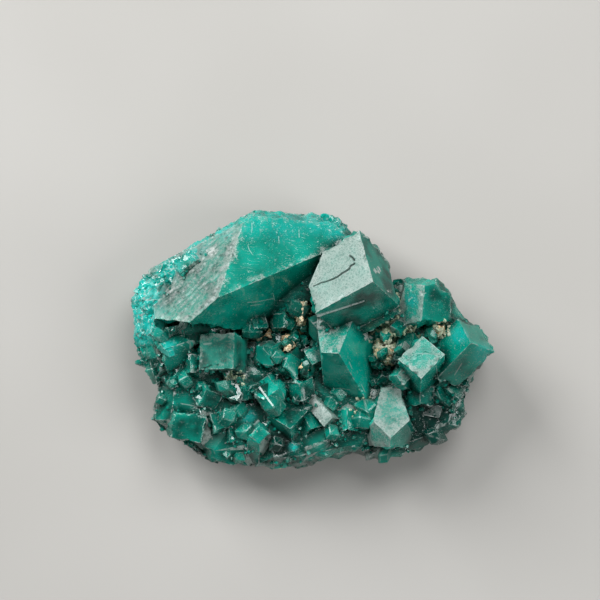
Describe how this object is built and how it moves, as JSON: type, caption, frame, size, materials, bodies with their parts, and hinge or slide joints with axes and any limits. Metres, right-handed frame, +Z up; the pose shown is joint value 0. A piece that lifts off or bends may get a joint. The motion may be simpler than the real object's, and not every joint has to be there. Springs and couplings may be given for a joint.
{
  "type": "dioptase crystal specimen",
  "caption": "Hand specimen of dioptase: blocky, intergrown, glassy green crystals on a little tan rock, lying on its back.",
  "frame": {"origin": "centre of the bounding box, at the level of the flat rock face that the specimen lies on", "axes": "+X along the specimen's length, +Y across it, +Z up, away from the rock and towards the crystals"},
  "size_m": [0.0378, 0.0274, 0.015],
  "materials": {
    "dioptase": "vitreous, partly frosted",
    "rock": "rough, earthy"
  },
  "bodies": {
    "root": {"dioptase_crystals": "dioptase", "host_rock": "rock"}
  },
  "joints": []
}
